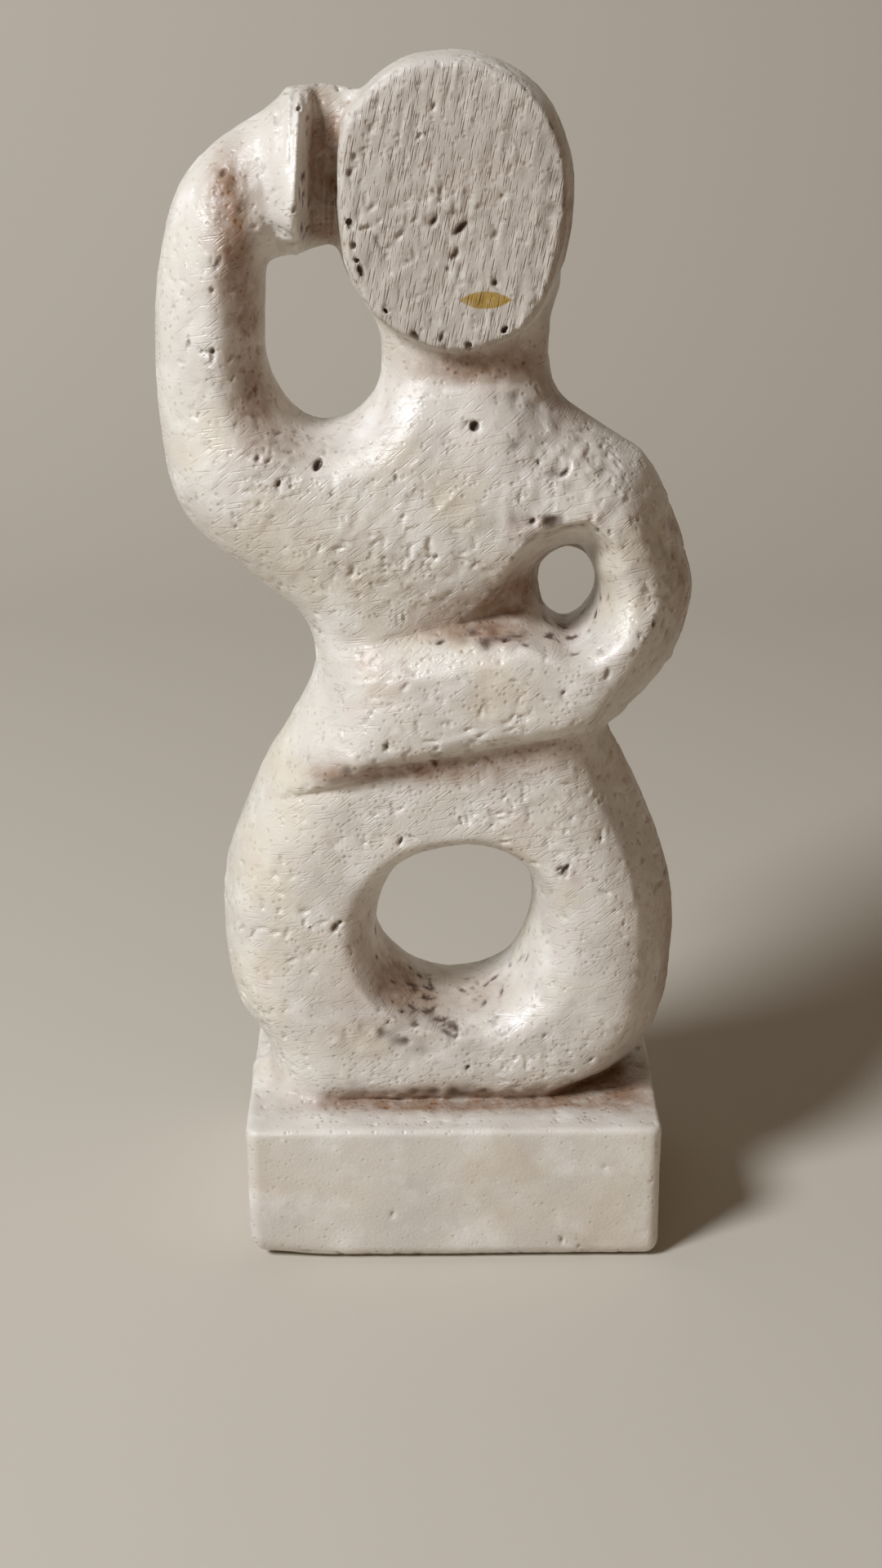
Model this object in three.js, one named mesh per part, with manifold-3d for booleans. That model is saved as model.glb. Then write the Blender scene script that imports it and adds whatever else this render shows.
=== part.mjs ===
// A small souvenir figurine in the Cycladic manner: blank flat face, one arm raised with its hand
// joined to the head, the other arm akimbo across the waist, and a ring-like lower body on a block.
// It is one solid of pale stone. Millimetres, +Z up, the front faces -Y, and the origin is at the
// centre of the block's flat underside.
import * as THREE from "three";
import Module from "manifold-3d";

const block = {
  width: 72, depth: 50, height: 26.5,
  cornerRadius: 2.5, topRadius: 1.2, bottomRadius: 3.2,
  arcSteps: 4, topSteps: 2, sideSteps: 4, leastCorner: 1,
};

// How far the edges of the body roll over before the surface levels out, round each loop.
const rounding = { body: 13, armOpening: 9, elbowBehind: 7, hipBehind: 10 };

// The head is a slab. Its face is one flat plane that comes forward a little towards the chin, and is
// a little smaller than the head's outline. The rim between them rolls over, and so does the back.
const head = {
  middleHeight: 179, faceDepth: 12.8, faceLean: 0.035, rim: 2.4, backDepth: 11.5, backRounding: 9,
};

// Half thickness of the body in front of the middle plane, as [height, half thickness].
const bodyDepths = [
  [20, 17.5], [42, 16.8], [65, 15.2], [86, 14.6], [104, 14.6],
  [118, 14.2], [131, 15.2], [142, 14], [150, 11.4], [158, 10], [205, 10],
];
const backShare = 0.92;

// The raised arm has its own half thickness, beyond these places leftwards and upwards.
const arm = { depth: 13.4, beginsX: [-14, -24], beginsZ: [138, 154] };

// The forearm wraps the waist as a raised band. Its lower crease is a shallow arch, and its nose rolls
// over above it. Its upper crease is a groove that deepens towards the elbow opening.
const band = {
  raise: 3.4, noseHeight: 4.6, fallHeight: 7,
  lowerMiddle: 91, lowerTilt: 0.235, lowerArch: 0.065, archRound: 4,
  upperMiddle: 112.5, upperTilt: 0.16,
  tipX: -38, fullLowX: -24, fullHighX: 4, blendHeight: 14,
};
const groove = {
  lift: 0.6, spreadBelow: 1.8, spreadAbove: 5.5, shallow: 0.5, deep: 3.2,
  deepens: [-20, 9], begins: [-26, -14], ends: [15, 24],
};

// A shallow trough parts the chest from the upper arm on the right.
const trough = {
  x: 16.5, z: 137, acrossX: 0.94, acrossZ: 0.33, depth: 0.9, spread: 5,
  begins: [120, 130], ends: [143, 152],
};

// The hand is a facet between a valley on the arm and a crest beside the thin web. Both lines lean.
const hand = {
  middleHeight: 184, valleyX: -28.6, valleyLean: -0.19, valleyDepth: 10, armReach: 9,
  valleyRound: 1, crestX: -23, crestLean: 0.057, crestRise: 0.6,
  webDepth: 4.2, webFrom: -0.6, webTo: 3.4,
  lowestZ: 163, fullZ: 172, headX: [-15, -12], outerX: [36, 42],
};

// The right side is dressed to a flat slope, this steep, that dies out below the shoulder.
const sideSlope = { steepness: 1.75, edgeRound: 8, blend: 14, begins: [15, 24], dies: [124, 144] };

// The ring rolls under a little where it meets the block, apart from its left end.
const foot = { top: 34, height: 7.5, undercut: 2.8, begins: [-23, -15] };

// The middle-plane outline, in stretches that meet at corners, from the left foot round clockwise.
const leftFoot = [-31, 20];
const leftHip = [[-33.5, 33.5], [-38.5, 43], [-40, 56], [-38.5, 69.5], [-33, 84], [-27, 94], [-23.4, 101]];
const leftWaist = [[-22.8, 106], [-24.5, 111.5], [-29.6, 116.3]];
const raisedArm = [[-38.6, 123.9], [-44.1, 130.8], [-46.3, 140], [-47, 154], [-46, 167], [-42.5, 179.5]];
const wrist = [[-36.5, 187], [-28.5, 192], [-24.8, 195.2]];
const webTop = [[-20, 195.7], [-14, 195]];
const insideHead = [[2, 186], [13, 178]];
const rightNeck = [[17.4, 167.5], [16.1, 160], [16.2, 152], [18.6, 147.5], [24.5, 143.2], [31, 139]];
const akimboArm = [[34.2, 134.3], [36.7, 128.5], [38.8, 122.5], [40.2, 115], [38.2, 105.5], [33.2, 97.8]];
const elbowEnd = [[26.8, 91.5]];
const rightHip = [[31.2, 82], [36.8, 68.3], [39.2, 54], [37.8, 38], [33.8, 31], [29, 25], [20, 21.5]];
const rightFoot = [20, 20];
const pointsInStretch = 5;

// Closed loops through the openings, and round the head.
const armOpening = [
  [-28.3, 169.2], [-23, 170.5], [-18.4, 171.6], [-16.4, 168], [-13.2, 162.6], [-11, 156.8],
  [-11.8, 149.8], [-16, 145.2], [-21.2, 144.1], [-26, 147.2], [-29.2, 154.5], [-29, 164],
];
const elbowOpening = [
  [18.6, 122.5], [22.2, 121.4], [23.8, 117.8], [22.8, 113.2], [19.2, 110], [15.6, 113], [14.9, 119.5],
];
const hipOpening = [
  [0.8, 72.4], [8, 71.2], [13, 66], [13.7, 56.5], [9.6, 46.6],
  [2, 43], [-6, 44.8], [-12, 51], [-13, 58.5], [-8.6, 68.6],
];
const headLoop = [
  [0.5, 200.6], [8, 199], [14.8, 194], [18.4, 186], [18.9, 177.5], [17, 167.8], [11.8, 159.4],
  [1, 155.8], [-8.6, 159.2], [-14, 164.6], [-16.8, 172], [-17.2, 182], [-15.8, 191.6], [-8.4, 198.8],
];

// Two of the openings widen in front as funnels. Each lip is a loop in the front surface, crisp on the
// side that crispX and crispZ point to and rolled over elsewhere, between the two given shares.
const elbowFunnel = {
  lip: [
    [-1, 110.8], [5.8, 118.2], [8.4, 122.8], [10.9, 126.8], [14.7, 129.6], [18.6, 130.8], [22, 130.6],
    [26.5, 126.5], [30, 120], [29, 111.5], [24.5, 106.5], [18.5, 107.3], [12, 110.8], [5, 110.6],
  ],
  middleX: 19.5, middleZ: 117, crispX: -0.8, crispZ: 0.6, rolled: -0.35, crisp: 0.3,
};
const hipFunnel = {
  lip: [
    [-17.6, 67.4], [-19.8, 59.7], [-17.6, 51.5], [-12, 45], [-4.5, 41.6], [3, 39.4], [10, 38.5],
    [18, 43], [22.5, 52], [21.5, 63], [17, 71.5], [9, 76.4], [0, 77.2], [-10, 74.6],
  ],
  middleX: 0.5, middleZ: 56.5, crispX: -0.85, crispZ: -0.5, rolled: 0.1, crisp: 0.7,
};

// A funnel's crisp side falls away from its lip by this power, and inside the opening the surface
// keeps falling at this slope.
const funnelCurve = 1.25;
const slopeInOpening = 0.3;

// Surface grid: stretches of each axis as [where it starts, spacing], closer where the form is finer.
// Points are moved onto the surface in a few short steps along the slope measured this far round them.
const settle = { steps: 5, longest: 0.3, measure: 0.02 };
const gridX = [[-50.8, 3.1], [-31.8, 2.4], [-12.8, 3.1], [44, 3.1]];
const gridY = [[-23, 3.2], [22, 3.2]];
const gridZ = [[14.25, 3.6], [82.25, 2.8], [97, 3.4], [154.25, 2.6], [204.25, 2.6]];

// Lengths below the first are nothing, and a point this near a segment's line counts as in line with it.
const tiny = 1e-6;
const nearlyInLine = 1e-5;

const { clamp, lerp, smoothstep } = THREE.MathUtils;

function vectors(points) {
  return points.map(([x, z]) => new THREE.Vector2(x, z));
}

function closedLoop(points) {
  const spatial = points.map(([x, z]) => new THREE.Vector3(x, z, 0));
  const divisions = pointsInStretch * points.length;
  return new THREE.CatmullRomCurve3(spatial, true).getPoints(divisions).slice(0, -1);
}

// The body's own outline. It ends inside the block below and inside the head above.
function bodyOutline() {
  const path = new THREE.Path();
  path.moveTo(...leftFoot);
  path.splineThru(vectors([...leftHip, ...leftWaist, ...raisedArm, ...wrist]));
  path.splineThru(vectors(webTop));
  insideHead.forEach(([x, z]) => path.lineTo(x, z));
  path.splineThru(vectors(rightNeck));
  path.splineThru(vectors([...akimboArm, ...elbowEnd]));
  path.splineThru(vectors(rightHip));
  path.lineTo(...rightFoot);
  path.closePath();
  return path.getPoints(pointsInStretch).slice(0, -1);
}

// A loop as a list of straight segments, leaving out any of no length.
function segmentsOf(points) {
  const segments = points.map((start, index) => {
    const end = points[(index + 1) % points.length];
    const length = Math.hypot(end.x - start.x, end.y - start.y);
    const [alongX, alongZ] = [(end.x - start.x) / length, (end.y - start.y) / length];
    return { start, end, length, alongX, alongZ };
  });
  return segments.filter((segment) => segment.length > tiny);
}

// Distance to the loops, positive inside. Near an edge it is the true distance, and further in it
// levels off smoothly, with no ridge where two edges are equally near.
function smoothDistance(segments, x, z) {
  let pull = 0;
  let inside = false;
  for (const { start, end, length, alongX, alongZ } of segments) {
    const fromX = start.x - x;
    const fromZ = start.y - z;
    const near = fromX * alongX + fromZ * alongZ;
    const far = near + length;
    const offset = fromX * alongZ - fromZ * alongX;
    const square = Math.max(offset * offset, tiny);
    const nearRange = Math.sqrt(near * near + square);
    const farRange = Math.sqrt(far * far + square);
    if (near * far > 0 && square < nearlyInLine * Math.min(near * near, far * far)) {
      pull += 0.5 * Math.abs(1 / nearRange ** 2 - 1 / farRange ** 2);
    } else {
      pull += (far / farRange - near / nearRange) / square;
    }
    if (start.y > z !== end.y > z) {
      const crossing = start.x + ((z - start.y) / (end.y - start.y)) * (end.x - start.x);
      if (crossing > x) {
        inside = !inside;
      }
    }
  }
  const distance = Math.sqrt(2 / pull);
  return inside ? distance : -distance;
}

// A quarter ellipse from 0 at the edge to 1 at the full rounding, squared. It is negative outside.
function roundedEdge(distance, rounding) {
  const share = Math.min(distance / rounding, 1);
  return share > 0 ? 2 * share - share * share : 2 * share;
}

function bump(value, middle, spread) {
  return Math.exp(-(((value - middle) / spread) ** 2));
}

// Smallest of two values, with the corner between them rounded over the blend.
function smoothMin(first, second, blend) {
  const share = clamp(0.5 + (0.5 * (second - first)) / blend, 0, 1);
  return lerp(second, first, share) - blend * share * (1 - share);
}

function depthAtHeight(z) {
  const next = clamp(depthCurve.findIndex((point) => point.x > z), 1, depthCurve.length - 1);
  const [low, high] = [depthCurve[next - 1], depthCurve[next]];
  return lerp(low.y, high.y, clamp((z - low.x) / (high.x - low.x), 0, 1));
}

// Half thickness that only follows the masses of the body, as on the plain back.
function plainDepth(x, z) {
  const inArm = smoothstep(-x, -arm.beginsX[0], -arm.beginsX[1]) * smoothstep(z, ...arm.beginsZ);
  return lerp(depthAtHeight(z), arm.depth, inArm);
}

// What the forearm band adds, and its upper groove takes away.
function bandRelief(x, z) {
  const lowerCrease = band.lowerMiddle + band.lowerTilt * x - band.lowerArch * Math.hypot(x, band.archRound);
  const upperCrease = band.upperMiddle + band.upperTilt * x;
  const nose = clamp((z - lowerCrease) / band.noseHeight, 0, 1);
  const rise = 1 - (1 - nose) ** 2;
  const fall = 1 - smoothstep(z, upperCrease - band.fallHeight, upperCrease);
  const heightShare = clamp((z - lowerCrease) / band.blendHeight, 0, 1);
  const fullX = lerp(band.fullLowX, band.fullHighX, heightShare);
  const length = smoothstep(x, band.tipX, fullX);
  const above = z - upperCrease - groove.lift;
  const profile = bump(above, 0, above > 0 ? groove.spreadAbove : groove.spreadBelow);
  const reach = lerp(groove.shallow, groove.deep, smoothstep(x, ...groove.deepens));
  const ends = smoothstep(x, ...groove.begins) * (1 - smoothstep(x, ...groove.ends));
  return band.raise * rise * fall * length - reach * profile * ends;
}

function troughRelief(x, z) {
  const across = (x - trough.x) * trough.acrossX + (z - trough.z) * trough.acrossZ;
  const length = smoothstep(z, ...trough.begins) * (1 - smoothstep(z, ...trough.ends));
  return -trough.depth * bump(across, 0, trough.spread) * length;
}

function footRelief(x, z) {
  const under = clamp((foot.top - z) / foot.height, 0, 1);
  return -foot.undercut * under ** 2 * smoothstep(x, ...foot.begins);
}

// The hand's facet, and the thin web that joins it to the head.
function handDepth(x, z, depth) {
  const valleyX = hand.valleyX + hand.valleyLean * (z - hand.middleHeight);
  const crestX = hand.crestX + hand.crestLean * (z - hand.middleHeight);
  const upArm = smoothstep(valleyX - x, -hand.valleyRound, hand.armReach);
  const armSide = lerp(hand.valleyDepth, arm.depth, upArm);
  const across = clamp((x - valleyX) / (crestX - valleyX), 0, 1);
  const facet = lerp(hand.valleyDepth, arm.depth + hand.crestRise, across);
  const inWeb = smoothstep(x, crestX + hand.webFrom, crestX + hand.webTo);
  const webbed = lerp(Math.max(armSide, facet), hand.webDepth, inWeb);
  return lerp(webbed, depth, smoothstep(-x, ...hand.outerX));
}

function frontDepth(x, z) {
  const body = plainDepth(x, z) + bandRelief(x, z) + troughRelief(x, z) + footRelief(x, z);
  const inHand = smoothstep(z, hand.lowestZ, hand.fullZ) * (1 - smoothstep(x, ...hand.headX));
  return lerp(body, handDepth(x, z, body), inHand);
}

// Squared share of the half thickness on the way from a funnel's lip in to its opening.
function funnelShare(funnel, x, z, holeEdge) {
  const lipEdge = Math.max(smoothDistance(funnel.segments, x, z), 0);
  if (holeEdge <= 0 || lipEdge === 0) {
    return holeEdge <= 0 ? slopeInOpening * holeEdge : 1;
  }
  const [awayX, awayZ] = [x - funnel.middleX, z - funnel.middleZ];
  const direction = (awayX * funnel.crispX + awayZ * funnel.crispZ) / Math.hypot(awayX, awayZ);
  const crispness = smoothstep(direction, funnel.rolled, funnel.crisp);
  const share = holeEdge / (lipEdge + holeEdge);
  return lerp(roundedEdge(share, 1), share ** funnelCurve, crispness);
}

// Squared half thickness of the body in front, with the flat slope along its right side.
function frontSquare(x, z, edges, outer) {
  const depth = frontDepth(x, z);
  const square = depth * depth * edges;
  const slope = (sideSlope.steepness * Math.max(outer, 0)) ** 2 + sideSlope.edgeRound * outer;
  const inSlope = smoothstep(x, ...sideSlope.begins) * (1 - smoothstep(z, ...sideSlope.dies));
  return lerp(square, smoothMin(square, slope, sideSlope.blend), inSlope);
}

// Signed square of the half thickness at a point of the middle plane, minus the square of y:
// zero on the surface, positive in the stone.
function stone(x, y, z) {
  const outer = smoothDistance(bodySegments, x, z);
  const [elbow, hip] = [-smoothDistance(elbowSegments, x, z), -smoothDistance(hipSegments, x, z)];
  const headEdge = smoothDistance(headSegments, x, z);
  const armEdge = roundedEdge(-smoothDistance(armSegments, x, z), rounding.armOpening);
  const edges = signedProduct(roundedEdge(outer, rounding.body), armEdge);
  if (y < 0) {
    const intoElbow = funnelShare(elbowFunnel, x, z, elbow);
    const intoHip = funnelShare(hipFunnel, x, z, hip);
    const faceDepth = head.faceDepth + head.faceLean * (head.middleHeight - z);
    const slab = faceDepth ** 2 * roundedEdge(headEdge, head.rim);
    const shares = signedProduct(edges, signedProduct(intoElbow, intoHip));
    return Math.max(frontSquare(x, z, shares, outer), slab) - y * y;
  }
  const elbowBehind = roundedEdge(elbow, rounding.elbowBehind);
  const hipBehind = roundedEdge(hip, rounding.hipBehind);
  const shares = signedProduct(edges, signedProduct(elbowBehind, hipBehind));
  const body = (plainDepth(x, z) * backShare) ** 2 * shares;
  return Math.max(body, head.backDepth ** 2 * roundedEdge(headEdge, head.backRounding)) - y * y;
}

// Product of two shares, negative where either is.
function signedProduct(first, second) {
  return first < 0 || second < 0 ? Math.min(first, second) : first * second;
}

function gridLines(stretches) {
  const lines = [];
  for (let index = 0; index + 1 < stretches.length; index++) {
    const [from, spacing] = stretches[index];
    const to = stretches[index + 1][0];
    const count = Math.round((to - from) / spacing);
    for (let step = 0; step < count; step++) {
      lines.push(from + ((to - from) * step) / count);
    }
  }
  return [...lines, stretches.at(-1)[0]];
}

// Closed surface where field is zero: one vertex for each grid cell that the surface crosses, moved
// onto the surface, and one quad for each grid edge that it crosses, folded along the diagonal that
// lies nearer to the surface.
function surfaceOf(field, xs, ys, zs) {
  const [nx, ny, nz] = [xs.length, ys.length, zs.length];
  const node = (i, j, k) => (k * ny + j) * nx + i;
  const values = new Float64Array(nx * ny * nz);
  for (let k = 0; k < nz; k++) {
    for (let j = 0; j < ny; j++) {
      for (let i = 0; i < nx; i++) {
        values[node(i, j, k)] = field(xs[i], ys[j], zs[k]);
      }
    }
  }
  const positions = [];
  const cellVertex = new Map();
  const corners = [0, 1, 2, 3, 4, 5, 6, 7].map((bits) => [bits & 1, (bits >> 1) & 1, bits >> 2]);
  const edges = corners.flatMap((low) => corners
    .filter((high) => high.every((bit, axis) => bit >= low[axis]))
    .filter((high) => high.reduce((sum, bit, axis) => sum + bit - low[axis], 0) === 1)
    .map((high) => [low, high]));
  for (let k = 0; k + 1 < nz; k++) {
    for (let j = 0; j + 1 < ny; j++) {
      for (let i = 0; i + 1 < nx; i++) {
        const sum = new THREE.Vector3();
        let crossings = 0;
        for (const [low, high] of edges) {
          const lowValue = values[node(i + low[0], j + low[1], k + low[2])];
          const highValue = values[node(i + high[0], j + high[1], k + high[2])];
          if (lowValue > 0 !== highValue > 0) {
            const share = lowValue / (lowValue - highValue);
            sum.x += lerp(xs[i + low[0]], xs[i + high[0]], share);
            sum.y += lerp(ys[j + low[1]], ys[j + high[1]], share);
            sum.z += lerp(zs[k + low[2]], zs[k + high[2]], share);
            crossings += 1;
          }
        }
        if (crossings > 0) {
          cellVertex.set(node(i, j, k), positions.length / 3);
          positions.push(...ontoSurface(field, sum.divideScalar(crossings)));
        }
      }
    }
  }
  const indices = [];
  const bulge = (a, b) => {
    const [x, y, z] = [0, 1, 2].map((axis) => (positions[3 * a + axis] + positions[3 * b + axis]) / 2);
    return Math.abs(field(x, y, z));
  };
  const addQuad = (cells, flipped) => {
    const corner = cells.map((cell) => cellVertex.get(cell));
    const turned = bulge(corner[1], corner[3]) < bulge(corner[0], corner[2]);
    const [a, b, c, d] = turned ? [corner[1], corner[2], corner[3], corner[0]] : corner;
    indices.push(...(flipped ? [a, c, b, a, d, c] : [a, b, c, a, c, d]));
  };
  for (let k = 1; k + 1 < nz; k++) {
    for (let j = 1; j + 1 < ny; j++) {
      for (let i = 1; i + 1 < nx; i++) {
        const solid = values[node(i, j, k)] > 0;
        if (solid !== values[node(i + 1, j, k)] > 0) {
          addQuad([node(i, j - 1, k - 1), node(i, j, k - 1), node(i, j, k), node(i, j - 1, k)], !solid);
        }
        if (solid !== values[node(i, j + 1, k)] > 0) {
          addQuad([node(i - 1, j, k - 1), node(i - 1, j, k), node(i, j, k), node(i, j, k - 1)], !solid);
        }
        if (solid !== values[node(i, j, k + 1)] > 0) {
          addQuad([node(i - 1, j - 1, k), node(i, j - 1, k), node(i, j, k), node(i - 1, j, k)], !solid);
        }
      }
    }
  }
  return { positions, indices };
}

// Newton's steps along the field's slope.
function ontoSurface(field, point) {
  const reach = settle.measure;
  for (let step = 0; step < settle.steps; step++) {
    const value = field(point.x, point.y, point.z);
    const slope = new THREE.Vector3(
      field(point.x + reach, point.y, point.z) - field(point.x - reach, point.y, point.z),
      field(point.x, point.y + reach, point.z) - field(point.x, point.y - reach, point.z),
      field(point.x, point.y, point.z + reach) - field(point.x, point.y, point.z - reach),
    ).divideScalar(2 * reach);
    const move = slope.multiplyScalar(-value / Math.max(slope.lengthSq(), tiny));
    point.add(move.clampLength(0, settle.longest));
  }
  return point.toArray();
}

// The block, as rings of a rounded rectangle: rolled edge, upright walls, small roll at the top.
function blockSurface() {
  const { arcSteps, topSteps, sideSteps } = block;
  const levels = [];
  for (let step = 0; step <= arcSteps; step++) {
    const angle = (step / arcSteps) * (Math.PI / 2);
    const z = block.bottomRadius * (1 - Math.cos(angle));
    levels.push({ z, inset: block.bottomRadius * (1 - Math.sin(angle)) });
  }
  for (let step = 0; step <= topSteps; step++) {
    const angle = (step / topSteps) * (Math.PI / 2);
    const z = block.height - block.topRadius * (1 - Math.sin(angle));
    levels.push({ z, inset: block.topRadius * (1 - Math.cos(angle)) });
  }
  const positions = [];
  const around = 4 * (sideSteps + 1);
  for (const { z, inset } of levels) {
    const radius = Math.max(block.cornerRadius - inset / 2, block.leastCorner);
    for (let corner = 0; corner < 4; corner++) {
      const signX = corner === 0 || corner === 3 ? 1 : -1;
      const signY = corner < 2 ? 1 : -1;
      const middleX = signX * (block.width / 2 - inset - radius);
      const middleY = signY * (block.depth / 2 - inset - radius);
      for (let step = 0; step <= sideSteps; step++) {
        const angle = (corner + step / sideSteps) * (Math.PI / 2);
        positions.push(middleX + radius * Math.cos(angle), middleY + radius * Math.sin(angle), z);
      }
    }
  }
  const indices = [];
  for (let level = 0; level + 1 < levels.length; level++) {
    for (let spot = 0; spot < around; spot++) {
      const a = level * around + spot;
      const b = level * around + ((spot + 1) % around);
      indices.push(a, b, b + around, a, b + around, a + around);
    }
  }
  const top = (levels.length - 1) * around;
  for (let spot = 1; spot + 1 < around; spot++) {
    indices.push(0, spot + 1, spot, top, top + spot, top + spot + 1);
  }
  return { positions, indices };
}

const depthCurve = new THREE.SplineCurve(vectors(bodyDepths)).getPoints(20 * bodyDepths.length);
const bodySegments = segmentsOf(bodyOutline());
const armSegments = segmentsOf(closedLoop(armOpening));
const elbowSegments = segmentsOf(closedLoop(elbowOpening));
const hipSegments = segmentsOf(closedLoop(hipOpening));
const headSegments = segmentsOf(closedLoop(headLoop));
elbowFunnel.segments = segmentsOf(closedLoop(elbowFunnel.lip));
hipFunnel.segments = segmentsOf(closedLoop(hipFunnel.lip));

const wasm = await Module();
wasm.setup();

function solidOf({ positions, indices }) {
  const mesh = new wasm.Mesh({
    numProp: 3,
    vertProperties: new Float32Array(positions),
    triVerts: new Uint32Array(indices),
  });
  return new wasm.Manifold(mesh);
}

function geometryOf(solid) {
  const mesh = solid.getMesh();
  const geometry = new THREE.BufferGeometry();
  geometry.setAttribute("position", new THREE.BufferAttribute(mesh.vertProperties, 3));
  geometry.setIndex(new THREE.BufferAttribute(mesh.triVerts, 1));
  geometry.computeVertexNormals();
  return geometry;
}

const figure = surfaceOf(stone, gridLines(gridX), gridLines(gridY), gridLines(gridZ));
const paleStone = new THREE.MeshStandardMaterial({ color: 0xcfc5b8, roughness: 0.55, metalness: 0 });
const figurine = new THREE.Mesh(geometryOf(solidOf(figure).add(solidOf(blockSurface()))), paleStone);
figurine.name = "figurine";

const part = new THREE.Group();
part.add(figurine);
export default part;
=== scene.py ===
import itertools
import math

import bpy
import numpy as np
from mathutils import Matrix, Vector, kdtree


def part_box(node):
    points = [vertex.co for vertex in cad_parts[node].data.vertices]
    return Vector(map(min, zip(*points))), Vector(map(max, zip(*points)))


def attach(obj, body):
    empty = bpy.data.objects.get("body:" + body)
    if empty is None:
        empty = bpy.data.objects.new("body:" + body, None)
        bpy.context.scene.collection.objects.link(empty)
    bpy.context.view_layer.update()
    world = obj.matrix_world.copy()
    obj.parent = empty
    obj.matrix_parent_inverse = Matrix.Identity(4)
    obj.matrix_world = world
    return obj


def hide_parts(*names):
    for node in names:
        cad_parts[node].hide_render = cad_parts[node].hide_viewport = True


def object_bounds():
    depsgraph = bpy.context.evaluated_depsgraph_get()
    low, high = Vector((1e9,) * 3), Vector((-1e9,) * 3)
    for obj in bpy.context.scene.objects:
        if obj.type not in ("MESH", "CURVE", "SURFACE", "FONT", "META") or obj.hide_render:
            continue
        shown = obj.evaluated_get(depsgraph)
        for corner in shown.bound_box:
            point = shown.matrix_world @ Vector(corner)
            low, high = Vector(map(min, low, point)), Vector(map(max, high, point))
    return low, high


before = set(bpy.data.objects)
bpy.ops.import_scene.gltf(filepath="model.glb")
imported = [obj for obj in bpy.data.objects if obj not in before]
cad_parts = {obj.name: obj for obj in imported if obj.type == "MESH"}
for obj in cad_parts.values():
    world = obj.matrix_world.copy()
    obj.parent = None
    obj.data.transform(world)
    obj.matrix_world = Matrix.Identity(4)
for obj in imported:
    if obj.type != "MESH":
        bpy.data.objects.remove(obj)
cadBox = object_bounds()

mm = 0.001
cadLow, cadHigh = (np.array(corner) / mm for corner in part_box("figurine"))

cameraSet = {
    "place": (-0.0045, -0.3385, 0.2200),
    "downwards": 22.39,  # degrees below the horizon
    "sideways": 0.46,
    "roll": 0.25,
    "lens": 48.75,
}

# The carved form, in millimetres: the outline lies in the middle plane y = 0, and -y is the front.
figureForm = {
    "rounding": 13,  # how far the edges of the body roll over
    "armDepth": 13.4,
    "backShare": 0.92,
    "grid": 0.34,
    "triangles": 197000,
}
headForm = {
    "middle": 179,
    "faceDepth": 12.8,
    "lean": 0.035,
    "inset": 1.45,  # how much smaller the face is than the head's outline
    "bevel": 0.8,
    "crispEdge": 0.35,
    "backDepth": 11.5,
    "backRounding": 9,
}
# the forearm across the waist
bandForm = {
    "raise": 3.4,
    "nose": 4.6,  # how high its lower edge rolls over
    "lowerCrease": (92.1, 0.2575, -0.0925),  # height, slope, and how much its ends bend down
    "upperCrease": (112.5, 0.16),
    "upperCreaseDepth": 3.2,
    "tipX": -38,
    "fullX": -24,
}
handForm = {
    "lowestZ": 165,
    "middleZ": 184,
    "valleyX": -28.6,
    "valleyDepth": 10,
    "crestX": -23,
    "webDepth": 4.2,
    "lean": (-0.19, 0.057),  # of the valley and of the crest
}
blockForm = {"halfWidth": 36.0, "height": 26.5, "cornerRadius": 2.5, "topRadius": 1.2, "bottomRadius": 3.2}
footForm = {"top": 33, "height": 6.5, "undercut": 0.8, "fillet": 5}
shoulderForm = {"dipX": 16.5, "dipZ": 137, "dipDepth": 0.9, "dipWidth": 5, "slope": 8, "steepness": 1.75}
# the edges round the openings: how far they roll over, and how steeply the funnels fall
openingForm = {"arm": 9, "elbowBack": 7, "hipBack": 10, "elbowFall": 1.8, "hipFall": 1.3}
# height, and how far the front lies before the middle plane there
bodyDepths = [
    [20, 17.5], [42, 16.8], [65, 15.2], [86, 14.6], [104, 14.6],
    [118, 14.2], [131, 15.2], [142, 14], [150, 11.4], [158, 10], [205, 10],
]

# clockwise from the lower left: a smooth curve through each stretch, a straight line to a single point
bodyStretches = [
    [[-31, 20]],
    [
        [-33.5, 33.5], [-38.5, 43], [-40, 56], [-38.5, 69.5], [-33, 84], [-27, 94], [-23.4, 101],
        [-22.8, 106], [-24.5, 111.5], [-29.6, 116.3],
        [-38.6, 123.9], [-44.1, 130.8], [-46.3, 140], [-47, 154], [-46, 167], [-42.5, 179.5],
        [-36.5, 187], [-28.5, 192], [-24.8, 195.2],
    ],
    [[-20, 195.7], [-14, 195]],
    [[2, 186]],
    [[13, 178]],
    [[17.4, 167.5], [16.1, 160], [16.2, 152], [18.6, 147.5], [24.5, 143.2], [31, 139]],
    [[34.2, 134.3], [36.7, 128.5], [38.8, 122.5], [40.2, 115], [38.2, 105.5], [33.2, 97.8], [26.8, 91.5]],
    [[31.2, 82], [36.8, 68.3], [39.2, 54], [37.8, 38], [33.8, 31], [29, 25], [20, 21.5]],
    [[20, 20]],
]
armOpening = [
    [-28.3, 169.2], [-23, 170.5], [-18.4, 171.6], [-16.4, 168], [-13.2, 162.6], [-11, 156.8],
    [-11.8, 149.8], [-16, 145.2], [-21.2, 144.1], [-26, 147.2], [-29.2, 154.5], [-29, 164],
]
elbowOpening = [
    [18.6, 122.5], [22.2, 121.4], [23.8, 117.8], [22.8, 113.2], [19.2, 110], [15.6, 113], [14.9, 119.5],
]
hipOpening = [
    [0.8, 72.4], [8, 71.2], [13, 66], [13.7, 56.5], [9.6, 46.6],
    [2, 43], [-6, 44.8], [-12, 51], [-13, 58.5], [-8.6, 68.6],
]
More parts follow.
